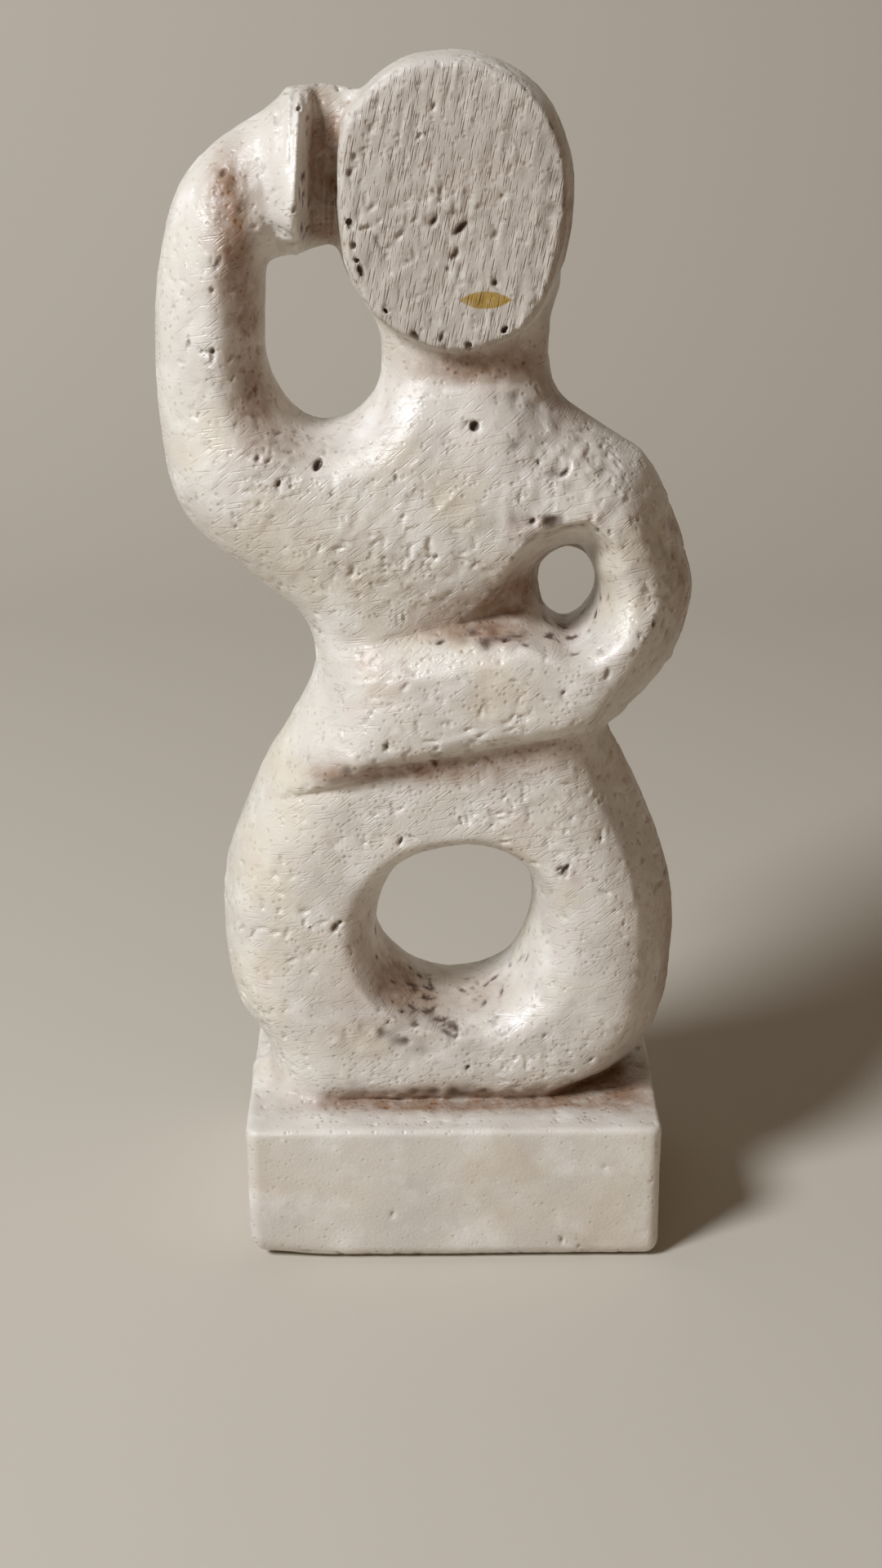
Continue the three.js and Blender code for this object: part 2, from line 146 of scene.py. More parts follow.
# where the carved funnels round two of the openings meet the front
elbowLip = [
    [-1, 110.8], [5.8, 118.2], [8.4, 122.8], [10.9, 126.8], [14.7, 129.6], [18.6, 130.8], [22, 130.6],
    [26.5, 126.5], [30, 120], [29, 111.5], [24.5, 106.5], [18.5, 107.3], [12, 110.8], [5, 110.6],
]
hipLip = [
    [-17.6, 67.4], [-19.8, 59.7], [-17.6, 51.5], [-12, 45], [-4.5, 41.6], [3, 39.4], [10, 38.5],
    [18, 43], [22.5, 52], [21.5, 63], [17, 71.5], [9, 76.4], [0, 77.2], [-10, 74.6],
]
headLoop = [
    [0.5, 200.6], [8, 199], [14.8, 194], [18.4, 186], [18.9, 177.5], [17, 167.8], [11.8, 159.4],
    [1, 155.8], [-8.6, 159.2], [-14, 164.6], [-16.8, 172], [-17.2, 182], [-15.8, 191.6], [-8.4, 198.8],
]


def smoothStep(value, low, high):
    share = np.clip((value - low) / (high - low), 0, 1)
    return share * share * (3 - 2 * share)


def mix(low, high, share):
    return low + (high - low) * share


def bump(distance, spread):
    return np.exp(-((distance / spread) ** 2))


def curveThrough(points, closed, steps=8):
    # a uniform Catmull-Rom curve, without its last point
    points = np.array(points, float)
    if closed:
        before, start, end, after = (np.roll(points, shift, 0) for shift in (1, 0, -1, -2))
    else:
        padded = np.vstack([points[:1], points, points[-1:]])
        before, start, end, after = padded[:-3], padded[1:-2], padded[2:-1], padded[3:]
    share = (np.arange(steps) / steps)[None, :, None]
    before, start, end, after = (each[:, None] for each in (before, start, end, after))
    curve = 0.5 * (
        2 * start
        + (end - before) * share
        + (2 * before - 5 * start + 4 * end - after) * share**2
        + (3 * start - before - 3 * end + after) * share**3
    )
    return curve.reshape(-1, 2)


def bodyLoop():
    parts = []
    for previous, stretch in zip(bodyStretches, bodyStretches[1:]):
        points = [previous[-1]] + stretch
        parts.append(curveThrough(points, False) if len(stretch) > 1 else np.array(points[:1], float))
    return np.vstack(parts + [np.array(bodyStretches[-1], float)])


def smoothDistance(loop, x, z):
    # distance to a loop, positive inside: true near its edge, levelling off smoothly further in
    pull = np.zeros(x.shape)
    inside = np.zeros(x.shape, bool)
    for start, end in zip(loop, np.roll(loop, -1, 0)):
        length = math.dist(start, end)
        if length < 1e-6:
            continue
        along = (end - start) / length
        fromX, fromZ = start[0] - x, start[1] - z
        near = fromX * along[0] + fromZ * along[1]
        far = near + length
        square = np.maximum((fromX * along[1] - fromZ * along[0]) ** 2, 1e-9)
        nearRange, farRange = np.sqrt(near * near + square), np.sqrt(far * far + square)
        inLine = (near * far > 0) & (square < 1e-5 * np.minimum(near * near, far * far))
        ahead = 0.5 * np.abs(1 / nearRange**2 - 1 / farRange**2)
        pull += np.where(inLine, ahead, (far / farRange - near / nearRange) / square)
        if start[1] != end[1]:
            crosses = (start[1] > z) != (end[1] > z)
            crossing = start[0] + (z - start[1]) / (end[1] - start[1]) * (end[0] - start[0])
            inside ^= crosses & (crossing > x)
    distance = np.sqrt(2 / pull)
    return np.where(inside, distance, -distance)


def roundedSquare(distance, rounding):
    # 1 on the flat, falling to 0 along a quarter ellipse at the edge, negative outside
    share = np.minimum(distance / rounding, 1)
    return np.where(share > 0, 2 * share - share * share, 2 * share)


def smoothMax(first, second, blend):
    share = np.clip(0.5 + 0.5 * (first - second) / blend, 0, 1)
    return mix(second, first, share) + blend * share * (1 - share)


def smoothMin(first, second, blend):
    return -smoothMax(-first, -second, blend)


def roundMin(first, second, radius):
    corner = np.hypot(np.maximum(radius - first, 0), np.maximum(radius - second, 0))
    return np.maximum(np.minimum(first, second), radius) - corner


def depthAtHeight(z):
    heights, depths = curveThrough(bodyDepths, False, 24).T
    return np.interp(z, heights, depths)


def plainDepth(x, z):
    inArm = smoothStep(-x, 14, 24) * smoothStep(z, 138, 154)
    return mix(depthAtHeight(z), figureForm["armDepth"], inArm)


def bandCreases(x):
    low, lowSlope, bend = bandForm["lowerCrease"]
    high, highSlope = bandForm["upperCrease"]
    return low + lowSlope * x + bend * np.hypot(x + 8, 6), high + highSlope * x


def bandRelief(x, z):
    lower, upper = bandCreases(x)
    nose = np.clip((z - lower) / bandForm["nose"], 0, 1)
    rise = 1 - (1 - nose) ** 2
    fall = 1 - smoothStep(z, upper - 7, upper + 0.5)
    height = np.clip((z - lower) / 14, 0, 1)
    length = smoothStep(x, bandForm["tipX"], mix(bandForm["fullX"], 4, height))
    above = z - upper - 0.6
    groove = np.where(above > 0, bump(above, 5.5), bump(above, 1.8))
    reach = mix(0.5, bandForm["upperCreaseDepth"], smoothStep(x, -20, 9)) * smoothStep(x, -26, -14)
    return bandForm["raise"] * rise * fall * length - reach * groove * (1 - smoothStep(x, 15, 24))


def shoulderRelief(x, z):
    # a shallow dip that runs down beside the shoulder of the bent arm
    across = (x - shoulderForm["dipX"]) * 0.94 + (z - shoulderForm["dipZ"]) * 0.33
    dip = -shoulderForm["dipDepth"] * bump(across, shoulderForm["dipWidth"])
    return dip * smoothStep(z, 120, 130) * (1 - smoothStep(z, 143, 152))


def footRelief(x, z):
    # the ring rolls under a little where it meets the block, apart from its left end
    under = np.clip((footForm["top"] - z) / footForm["height"], 0, 1)
    return -footForm["undercut"] * under**2 * smoothStep(x, -23, -15)


def handDepth(x, z, depth):
    full, valley = figureForm["armDepth"], handForm["valleyDepth"]
    valleyLean, crestLean = handForm["lean"]
    valleyX = handForm["valleyX"] + valleyLean * (z - handForm["middleZ"])
    crestX = handForm["crestX"] + crestLean * (z - handForm["middleZ"])
    armSide = mix(valley, full, smoothStep(valleyX - x, -1, 9))
    facet = mix(valley, full + 0.6, np.clip((x - valleyX) / (crestX - valleyX), 0, 1.1))
    outer = smoothMax(armSide, facet, 0.8)
    webbed = mix(outer, handForm["webDepth"], smoothStep(x, crestX - 0.4, crestX + 2.6))
    return mix(webbed, depth, smoothStep(-x, 36, 42))


def frontDepth(x, z):
    body = plainDepth(x, z) + bandRelief(x, z) + shoulderRelief(x, z) + footRelief(x, z)
    lowest = handForm["lowestZ"]
    inHand = smoothStep(z, lowest, lowest + 7) * (1 - smoothStep(x, -15, -12))
    return mix(body, handDepth(x, z, body), inHand)


def aroundHole(x, z, middle, direction):
    # how far a place lies towards one side of an opening: 1 that way, -1 the other way
    awayX, awayZ = x - middle[0], z - middle[1]
    return (awayX * direction[0] + awayZ * direction[1]) / np.maximum(np.hypot(awayX, awayZ), 1)


def flared(holeEdge, lipEdge, softness, fall):
    # a funnel from its lip in the front down to the opening, with a crisp or a rolled lip
    fromLip, fromHole = np.maximum(lipEdge, 0), np.maximum(holeEdge, 0)
    rest = 1 - np.clip(fromLip / np.maximum(fromLip + fromHole, 1e-6), 0, 1)
    square = mix(rest**fall, 2 * rest - rest * rest, softness)
    return np.where(holeEdge > 0, square, 0.3 * holeEdge)


def bodySquares(x, z):
    # the squared half thickness in front of the middle plane and behind it
    def edgeOf(points):
        return smoothDistance(curveThrough(points, True), x, z)

    outer = smoothDistance(bodyLoop(), x, z)
    arm, elbow, hip = -edgeOf(armOpening), -edgeOf(elbowOpening), -edgeOf(hipOpening)
    edges = roundedSquare(outer, figureForm["rounding"]) * roundedSquare(arm, openingForm["arm"])
    back = edges * roundedSquare(elbow, openingForm["elbowBack"])
    back = back * roundedSquare(hip, openingForm["hipBack"])
    # the elbow's funnel has a crisp lip on the upper left, the hip's a crisper one on the lower left
    elbowSoft = 1 - smoothStep(aroundHole(x, z, (19.5, 117), (-0.8, 0.6)), -0.35, 0.3)
    hipSoft = 1 - 0.6 * smoothStep(aroundHole(x, z, (0.5, 56.5), (-0.45, -0.9)), 0.6, 0.95)
    front = edges * flared(elbow, edgeOf(elbowLip), elbowSoft, openingForm["elbowFall"])
    front = front * flared(hip, edgeOf(hipLip), hipSoft, openingForm["hipFall"])
    depth = frontDepth(x, z)
    front = np.where(front > 0, front * depth**2, front * 150)
    # the right side is dressed to a flat slope that meets the front in a worn edge
    slope = np.where(outer > 0, (shoulderForm["steepness"] * outer) ** 2, 0) + shoulderForm["slope"] * outer
    inSlope = smoothStep(x, 15, 24) * (1 - smoothStep(z, 124, 144))
    front = mix(front, smoothMin(front, slope, 14), inSlope)
    backDepth = plainDepth(x, z)
    return front, depth, back * (backDepth * figureForm["backShare"]) ** 2, backDepth


def headInFront(edge, depth, x, z, y):
    # the face is a flat plane; its edge is crisp on the right, with a small bevel on the left and the top
    high, wide = (z - headForm["middle"]) / 22, x / 17
    inset = headForm["inset"] + 0.65 * wide - 0.35 * high
    rim = mix(headForm["bevel"], headForm["crispEdge"], smoothStep(wide - 0.5 * high, -0.1, 0.5))
    return roundMin(edge - inset * (y / depth) ** 4, depth - abs(y), rim)


def stoneField(xs, ys, zs):
    # positive in the stone, roughly the distance to its surface
    x, z = (flat.astype(float) for flat in np.meshgrid(xs, zs, indexing="ij"))
    front, frontFlat, back, backFlat = bodySquares(x, z)
    headEdge = smoothDistance(curveThrough(headLoop, True), x, z)
    faceDepth = headForm["faceDepth"] + headForm["lean"] * (headForm["middle"] - z)
    headBack = headForm["backDepth"]
    backSlab = headBack**2 * roundedSquare(headEdge, headForm["backRounding"])
    field = np.empty((len(xs), len(ys), len(zs)), np.float32)
    height = blockForm["height"]
    # the figure runs into the block on the left, and is cut off from it crisply elsewhere
    fillet = mix(0.3, footForm["fillet"], 1 - smoothStep(x, -30, -16))
    bottom = mix(blockForm["bottomRadius"] + 2.4, blockForm["bottomRadius"], smoothStep(x, -36, -20))
    for index, y in enumerate(ys):
        if y < 0:
            body = (front - y * y) / (2 * frontFlat)
            head = headInFront(headEdge, faceDepth, x, z, y)
        else:
            body = (back - y * y) / (2 * backFlat)
            head = (backSlab - y * y) / (2 * headBack)
        figure = smoothMax(body, head, 1.2)
        fromSide = blockForm["halfWidth"] - np.abs(x)
        wide = roundMin(cadHigh[1] - abs(y) + 0 * x, fromSide, blockForm["cornerRadius"])
        block = roundMin(roundMin(wide, z, bottom), height - z, blockForm["topRadius"])
        field[:, index] = smoothMax(figure, block, fillet)
    return field


corners = list(itertools.product((0, 1), repeat=3))
noiseSide = 32  # values along each side of the noise table, which repeats beyond them


def cornerWeight(share, corner):
    # how much a corner of a unit cell counts for places inside it
    return np.prod([np.abs(1 - each - share[:, axis]) for axis, each in enumerate(corner)], 0)


def latticeNoise(points, size, table):
    # smooth noise from -1 to 1, with lumps about as wide as the size in millimetres
    scaled = points / np.asarray(size, np.float32)
    cell = np.floor(scaled).astype(np.int32)
    share = scaled - cell
    share = share * share * (3 - 2 * share)
    total = np.zeros(len(points), np.float32)
    for corner in corners:
        row, column, layer = ((cell + corner) % noiseSide).T
        total += table[(row * noiseSide + column) * noiseSide + layer] * cornerWeight(share, corner)
    return 2 * total - 1


def within(points, middle, spread):
    return np.exp(-(((points - np.array(middle)) / np.array(spread)) ** 2).sum(1))


# What the chisel and the rasp leave, all in millimetres: how deep, and how wide and long a stroke is.
toolMarks = {
    "waves": 0.2,
    "dents": 0.13,
    "grit": 0.1,
    "onBlock": 0.35,  # the block is dressed smoother than the figure
    "rasp": {"depth": 0.27, "width": 0.72, "length": 5, "lean": 12},
    "gouge": {"depth": 0.42, "width": 0.75, "length": 9},
    "file": {"depth": 0.16, "width": 0.8, "length": 11},
    "chisel": {"depth": 0.22, "width": 0.85, "length": 5},
    "crumble": 0.6,
    "flake": 0.42,
}
# where the stone has crumbled: middle, spread, how much
crumbledPlaces = [
    ((-8, -15, 40), (12, 6, 3.5), 0.8), ((6, -14, 112), (10, 6, 2.2), 1),
    ((13, -14, 131), (9, 6, 3), 0.7), ((-2, -16, 28), (27, 5, 2), 0.9),
    ((35, -11, 118), (3.5, 6, 20), 0.7), ((17, -11, 150), (7, 7, 8), 0.8),
    ((-4, -16, 90), (24, 5, 2), 0.6), ((-24, -10, 174), (4, 8, 3), 0.8),
    ((33, -12, 62), (4, 5, 25), 0.5), ((15, -14, 180), (3, 4, 18), 0.5),
    ((20, -13, 138), (9, 6, 7), 0.6), ((-33, -12, 178), (5, 6, 12), 0.7),
]


def strokeNoise(points, stroke, lean, table):
    # noise drawn out along a direction that leans this many degrees from upright
    angle = math.radians(lean)
    across = points[:, 0] * math.cos(angle) - points[:, 2] * math.sin(angle)
    along = points[:, 0] * math.sin(angle) + points[:, 2] * math.cos(angle)
    drawn = np.stack([across, points[:, 1], along], 1).astype(np.float32)
    coarse = latticeNoise(drawn, (stroke["width"], 9, stroke["length"]), table)
    return coarse + 0.6 * latticeNoise(drawn + 5, (0.7 * stroke["width"], 9, 0.5 * stroke["length"]), table)


def faceShare(x, y, z):
    return smoothStep(-y, 10.8, 12) * smoothStep(z, 154, 156) * smoothStep(x, -18, -17)


def handWork(points, table):
    x, y, z = points.T
    plain = mix(toolMarks["onBlock"], 1, smoothStep(z, 25.5, 27.5)) * smoothStep(z, 0, 1.5)
    relief = plain * toolMarks["waves"] * latticeNoise(points, 16, table)
    relief += plain * toolMarks["dents"] * latticeNoise(points + 7, 5.5, table)
    relief += (0.3 + 0.7 * plain) * toolMarks["grit"] * latticeNoise(points + 3, 1.7, table)
    face = faceShare(x, y, z)
    # the rasp went down the face, leaning from the upper right to the lower left
    rasp = toolMarks["rasp"]
    patchy = 0.55 + 0.25 * smoothStep(x, -8, 10) + 0.3 * latticeNoise(points, 9, table)
    relief += rasp["depth"] * face * patchy * strokeNoise(points, rasp, rasp["lean"], table)
    # upright gouge marks on the hand's edge and the web beside it
    gouge = toolMarks["gouge"]
    hand = smoothStep(x, -28, -24) * smoothStep(-x, 16.5, 18)
    hand *= smoothStep(z, 166, 172) * smoothStep(-y, 1, 4)
    hand += 0.6 * within(points, (-34, -11, 186), (5, 8, 7))
    relief += gouge["depth"] * hand * strokeNoise(points, gouge, 2, table)
    # long file marks along the band, and slanting chisel strokes over the chest
    file, chisel = toolMarks["file"], toolMarks["chisel"]
    band = smoothStep(-y, 7, 12) * smoothStep(z, 80, 86) * smoothStep(-z, -116, -108)
    band *= 0.5 + 0.9 * within(points, (-12, -12, 110), (14, 9, 5))
    relief += file["depth"] * band * strokeNoise(points, file, 76, table)
    chest = smoothStep(-y, 7, 12) * smoothStep(z, 112, 118) * smoothStep(-z, -150, -142)
    ridges = np.maximum(strokeNoise(points, chisel, 48, table) - 0.25, 0)
    cuts = np.maximum(strokeNoise(points + 9, chisel, 30, table) - 0.3, 0)
    relief += chisel["depth"] * chest * ridges
    relief -= 0.8 * chisel["depth"] * chest * cuts
    crumble = sum(amount * within(points, middle, spread) for middle, spread, amount in crumbledPlaces)
    crumble = np.minimum(crumble, 1.2)
    relief += toolMarks["crumble"] * crumble * (latticeNoise(points, 1.7, table) - 0.3)
    # flakes have come off here and there, in patches
    patches = smoothStep(latticeNoise(points + 19, 13, table), -0.2, 0.4) * (1 - 0.5 * face) + crumble
    flakes = np.maximum(latticeNoise(points + 23, (1.5, 1.5, 2.3), table) - 0.3, 0)
    return relief - toolMarks["flake"] * plain * patches * flakes


def addHandWork(field, lines, table):
    near = np.nonzero(np.abs(field) < 1.1)
    points = np.stack([axis[index] for axis, index in zip(lines, near)], 1).astype(np.float32)
    field[near] += handWork(points, table) - 0.1


def sample(field, lines, points):
    # the field between its grid points
    total = np.zeros(len(points))
    spots = [(points[:, each] - lines[each][0]) / (lines[each][1] - lines[each][0]) for each in range(3)]
    cells = [np.clip(np.floor(spot).astype(int), 0, size - 2) for spot, size in zip(spots, field.shape)]
    shares = [np.clip(spot - cell, 0, 1) for spot, cell in zip(spots, cells)]
    for corner in corners:
        weight = cornerWeight(np.stack(shares, 1), corner)
        total += weight * field[tuple(cell + each for cell, each in zip(cells, corner))]
    return total


# Holes in the porous stone, in millimetres: those that stand out in front as (x, z, radius), and how the
# rest are strewn.
pores = {
    "standingOut": [
        (0, 182.5, 0.8), (2.5, 182, 0.6), (7.5, 181.5, 0.6), (-2.5, 178, 1), (1, 178.5, 0.9),
        (2, 177, 1.2), (6.5, 175.5, 0.9), (0, 173, 1.1), (-1, 171, 0.7), (-6, 178, 0.6),
        (-7, 181, 0.6), (-8.5, 184, 0.6), (7, 168.5, 1), (10.5, 171, 0.6), (13, 167.5, 0.6),
        (-1.5, 159, 0.8), (10, 189, 0.7), (-5, 190, 0.7), (-3, 194, 0.6), (-9, 188, 0.5),
        (15, 180, 0.6), (-5.5, 160.5, 0.6), (-34.5, 184, 1), (-34.5, 170.5, 1.2), (-36.5, 168, 0.9),
        (-36, 157.5, 0.9), (-39, 158.5, 0.7), (-30.5, 142, 1), (-27.5, 138.5, 1),
        (-21.5, 140.5, 1.1), (-31, 134.5, 0.9), (-24.5, 137.5, 0.6), (4.5, 146.5, 1.4),
        (14, 140.5, 0.9), (18.5, 139, 1), (13, 131.5, 1), (16, 131, 0.8), (-15.5, 121.5, 1),
        (25, 129, 0.7), (33.5, 113.5, 0.9), (25, 107.5, 1.1), (17.5, 104.5, 0.8),
        (-10.5, 93.5, 0.8), (-9, 77, 0.9), (-19.5, 62, 1.1), (19, 71.5, 1.2), (3.5, 35, 1),
        (-11.5, 43, 0.9), (16, 40.5, 0.8),
    ],
    "strewn": 850,
    "smallest": 0.3,
    "largest": 0.75,
    "nicks": 3600,
    "seed": 11,
    # middle, spread and strength of the places that are more porous than the rest
    "clusters": [
        ((2, -13, 176), (7, 5, 8), 6), ((-32, -12, 141), (8, 6, 9), 4),
        ((17, -13, 137), (8, 6, 7), 7), ((0, -16, 35), (18, 5, 6), 8),
        ((12, -14, 102), (12, 5, 5), 3), ((36, -8, 118), (6, 8, 18), 4),
        ((-6, -12, 125), (12, 6, 10), 3), ((0, 12, 150), (20, 6, 25), 2),
        ((0, 14, 60), (34, 6, 20), 3), ((-4, -16, 91), (22, 5, 3), 3),
        ((14, -14, 80), (10, 5, 7), 3),
    ],
}


def carvePore(field, lines, middle, axes, radii):
    reach = radii.max() * 1.1 + 2 * (lines[0][1] - lines[0][0])
    window = tuple(
        slice(*np.searchsorted(line, (at - reach, at + reach))) for line, at in zip(lines, middle)
    )
    nearby = [line[cut] for line, cut in zip(lines, window)]
    away = np.stack(np.meshgrid(*nearby, indexing="ij"), -1) - middle
    scaled = np.linalg.norm(away @ axes.T / radii, axis=-1)
    field[window] = np.minimum(field[window], ((scaled - 1) * radii.min()).astype(np.float32))


def frameOf(normal, upwards, turn):
    side = np.cross(upwards, normal)
    side /= max(np.linalg.norm(side), 1e-6)
    along = np.cross(normal, side)
    tilted = side * math.cos(turn) + along * math.sin(turn)
    return np.array([tilted, np.cross(normal, tilted), normal])


def strewn(vertices, count, onBlock, rng):
    # surface points picked at random, more of them where the stone is more porous
    weight = np.full(len(vertices), 1.0)
    for middle, spread, strength in pores["clusters"]:
        weight += strength * within(vertices, middle, spread)
    weight[vertices[:, 2] < blockForm["height"]] = onBlock
    weight[vertices[:, 2] < 1] = 0.02
    return rng.choice(len(vertices), count, replace=False, p=weight / weight.sum())


def openPores(field, lines, vertices, normals, rng):
    places = []
    frontal = np.flatnonzero(normals[:, 1] < -0.25)
    tree = kdtree.KDTree(len(frontal))
    for index, vertex in enumerate(frontal):
        tree.insert((vertices[vertex, 0], 0, vertices[vertex, 2]), index)
    tree.balance()
    for x, z, radius in pores["standingOut"]:
        near = [frontal[index] for _, index, _ in tree.find_n((x, 0, z), 6)]
        places.append((min(near, key=lambda vertex: vertices[vertex, 1]), radius))
    for vertex in strewn(vertices, pores["strewn"], 0.25, rng):
        size = pores["smallest"] + (pores["largest"] - pores["smallest"]) * rng.random() ** 3
        places.append((vertex, size))
    for vertex, radius in places:
        normal, middle = normals[vertex], vertices[vertex]
        for lobe in range(rng.integers(1, 5)):
            size = radius * (0.85 if lobe == 0 else rng.uniform(0.35, 0.65))
            axes = frameOf(normal, (0.5, 0, 1), rng.normal(math.pi / 2, 0.35))
            shift = 0 if lobe == 0 else rng.uniform(0.5, 1.3) * radius
            turn = rng.normal(0, 0.7) + math.pi * rng.integers(0, 2)
            sideways = axes[0] * math.cos(turn) + axes[1] * math.sin(turn)
            at = middle + shift * sideways + 0.1 * size * normal
            radii = size * np.array([rng.uniform(0.8, 1.7), rng.uniform(0.5, 0.75), rng.uniform(0.8, 1.5)])
            carvePore(field, lines, at, axes, radii)
    # nicks are shallow scoops, turned any way
    for vertex in strewn(vertices, pores["nicks"], 0.15, rng):
        axes = frameOf(normals[vertex], (0.25, 0, 1), rng.uniform(0, math.pi))
        radii = np.array([rng.uniform(0.5, 1.5), rng.uniform(0.3, 0.6), 0.45])
        carvePore(field, lines, vertices[vertex] + rng.uniform(0, 0.24) * normals[vertex], axes, radii)
    return len(places) + pores["nicks"]


# how many chips have come off each edge, and the ellipse that the rim of the face follows
chips = {"blockTop": 26, "blockFoot": 12, "blockSide": 8, "faceRim": 20}
faceRim = {"middle": (0.6, -12.6, 178.6), "halfWidth": 15.7, "halfHeight": 20.6}


def chipEdges(field, lines, rng):
    # shallow bites out of the worn edges: the block's front and the rim of the face
    front, top, side = -cadHigh[1], blockForm["height"], blockForm["halfWidth"]
    bites = [((x, front, top), (0, -0.7, 0.7)) for x in rng.uniform(-34, 34, chips["blockTop"])]
    bites += [((x, front + 1, 1), (0, -0.7, -0.7)) for x in rng.uniform(-30, 33, chips["blockFoot"])]
    bites += [((side, front + 1, z), (0.7, -0.7, 0)) for z in rng.uniform(4, 25, chips["blockSide"])]
    x, y, z = faceRim["middle"]
    for angle in rng.uniform(0, 2 * math.pi, chips["faceRim"]):
        wide, high = faceRim["halfWidth"] * math.cos(angle), faceRim["halfHeight"] * math.sin(angle)
        place = (x + wide, y, z + high)
        bites.append((place, (math.cos(angle) * 0.7, -0.7, math.sin(angle) * 0.5)))
    for place, direction in bites:
        direction = np.array(direction) / np.linalg.norm(direction)
        axes = frameOf(direction, (1, 0, 0.2), rng.uniform(0, 0.5))
        radii = np.array([rng.uniform(0.5, 1.6), rng.uniform(0.4, 0.9), rng.uniform(0.3, 0.6)])
        carvePore(field, lines, np.array(place) + 0.1 * direction, axes, radii)


def surfaceOf(field, xs, ys, zs):
    # one vertex in each cell that the surface crosses, one quad round each grid line that it cuts
    solid = field > 0
    count = np.zeros([side - 1 for side in field.shape], np.uint8)
    for corner in corners:
        count += solid[tuple(slice(each, each + side) for each, side in zip(corner, count.shape))]
    active = (count > 0) & (count < 8)
    cells = np.argwhere(active)
    number = np.full(active.shape, -1, np.int32)
    number[active] = np.arange(len(cells))
    lines = [np.asarray(axis, float) for axis in (xs, ys, zs)]
    total, crossings = np.zeros((len(cells), 3)), np.zeros(len(cells))
    for axis in range(3):
        others = [other for other in range(3) if other != axis]
        for first in (0, 1):
            for second in (0, 1):
                low = cells.copy()
                low[:, others[0]] += first
                low[:, others[1]] += second
                high = low.copy()
                high[:, axis] += 1
                lowValue = field[tuple(low.T)].astype(float)
                highValue = field[tuple(high.T)].astype(float)
                crosses = (lowValue > 0) != (highValue > 0)
                share = np.where(crosses, lowValue / np.where(crosses, lowValue - highValue, 1), 0)
                for each in range(3):
                    place = mix(lines[each][low[:, each]], lines[each][high[:, each]], share)
                    total[:, each] += np.where(crosses, place, 0)
                crossings += crosses
    vertices = total / crossings[:, None]
    quads = []
    for axis in range(3):
        nextAxis, lastAxis = (axis + 1) % 3, (axis + 2) % 3
        before = solid.take(range(solid.shape[axis] - 1), axis)
        after = solid.take(range(1, solid.shape[axis]), axis)
        where = np.argwhere(before != after)
        where = where[(where[:, nextAxis] > 0) & (where[:, lastAxis] > 0)]
        leaving = before[tuple(where.T)]
        around = []
        for stepNext, stepLast in ((-1, -1), (0, -1), (0, 0), (-1, 0)):
            cell = where.copy()
            cell[:, nextAxis] += stepNext
            cell[:, lastAxis] += stepLast
            around.append(number[tuple(cell.T)])
        quad = np.stack(around, 1)
        quads.append(np.where(leaving[:, None], quad, quad[:, ::-1]))
    return vertices, np.vstack(quads)


def gridLines(low, high, spacing):
    return np.linspace(low, high, int(round((high - low) / spacing)) + 1)


def meshObject(name, vertices, faces):
    mesh = bpy.data.meshes.new(name)
    mesh.vertices.add(len(vertices))
    mesh.vertices.foreach_set("co", np.asarray(vertices, np.float32).ravel())
    mesh.loops.add(faces.size)
    mesh.loops.foreach_set("vertex_index", np.asarray(faces, np.int32).ravel())
    mesh.polygons.add(len(faces))
    mesh.polygons.foreach_set("loop_start", np.arange(len(faces), dtype=np.int32) * faces.shape[1])
    mesh.update(calc_edges=True)
    mesh.validate()
    made = bpy.data.objects.new(name, mesh)
    bpy.context.scene.collection.objects.link(made)
    return made


def blurred(values, radius, times):
    for _ in range(times):
        for axis in range(3):
            sums = np.cumsum(values, axis, dtype=np.float64)
            sums = np.concatenate([np.zeros_like(values.take([0], axis)), sums], axis)
            size = values.shape[axis]
            top = np.minimum(np.arange(size) + radius + 1, size)
            bottom = np.maximum(np.arange(size) - radius, 0)
            total = sums.take(top, axis) - sums.take(bottom, axis)
            values = (total / (2 * radius + 1)).astype(np.float32)
    return values


def outwards(field, lines, points):
    step = lines[0][1] - lines[0][0]
    slopes = [
        sample(field, lines, points + shift) - sample(field, lines, points - shift)
        for shift in step * np.eye(3)
    ]
    normals = -np.stack(slopes, 1)
    return normals / np.maximum(np.linalg.norm(normals, axis=1), 1e-9)[:, None]


spacing = figureForm["grid"]
lines = [gridLines(cadLow[each] - 3 * spacing, cadHigh[each] + 3 * spacing, spacing) for each in range(3)]
smoothField = stoneField(*lines)
print("form:", smoothField.shape, "grid")

rng = np.random.default_rng(pores["seed"])
noiseTable = rng.random(noiseSide**3).astype(np.float32)
seedLines = [line[::3] for line in lines]
seeds, _ = surfaceOf(np.ascontiguousarray(smoothField[::3, ::3, ::3]), *seedLines)
seedNormals = outwards(smoothField, lines, seeds)
field = smoothField.copy()
addHandWork(field, lines, noiseTable)
count = openPores(field, lines, seeds, seedNormals, rng)
chipEdges(field, lines, rng)
print("carving:", count, "pores")

vertices, quads = surfaceOf(field, *lines)
figurine = meshObject("carvedFigurine", np.clip(vertices, cadLow, cadHigh) * mm, quads)
faces = 2 * len(quads)
thinning = figurine.modifiers.new("thinning", "DECIMATE")
thinning.ratio = min(1, figureForm["triangles"] / faces)
graph = bpy.context.evaluated_depsgraph_get()
fineMesh = bpy.data.meshes.new_from_object(figurine.evaluated_get(graph))
figurine.modifiers.clear()
figurine.data = fineMesh
fineMesh.shade_smooth()
print("surface:", faces, "triangles thinned to", len(fineMesh.polygons))


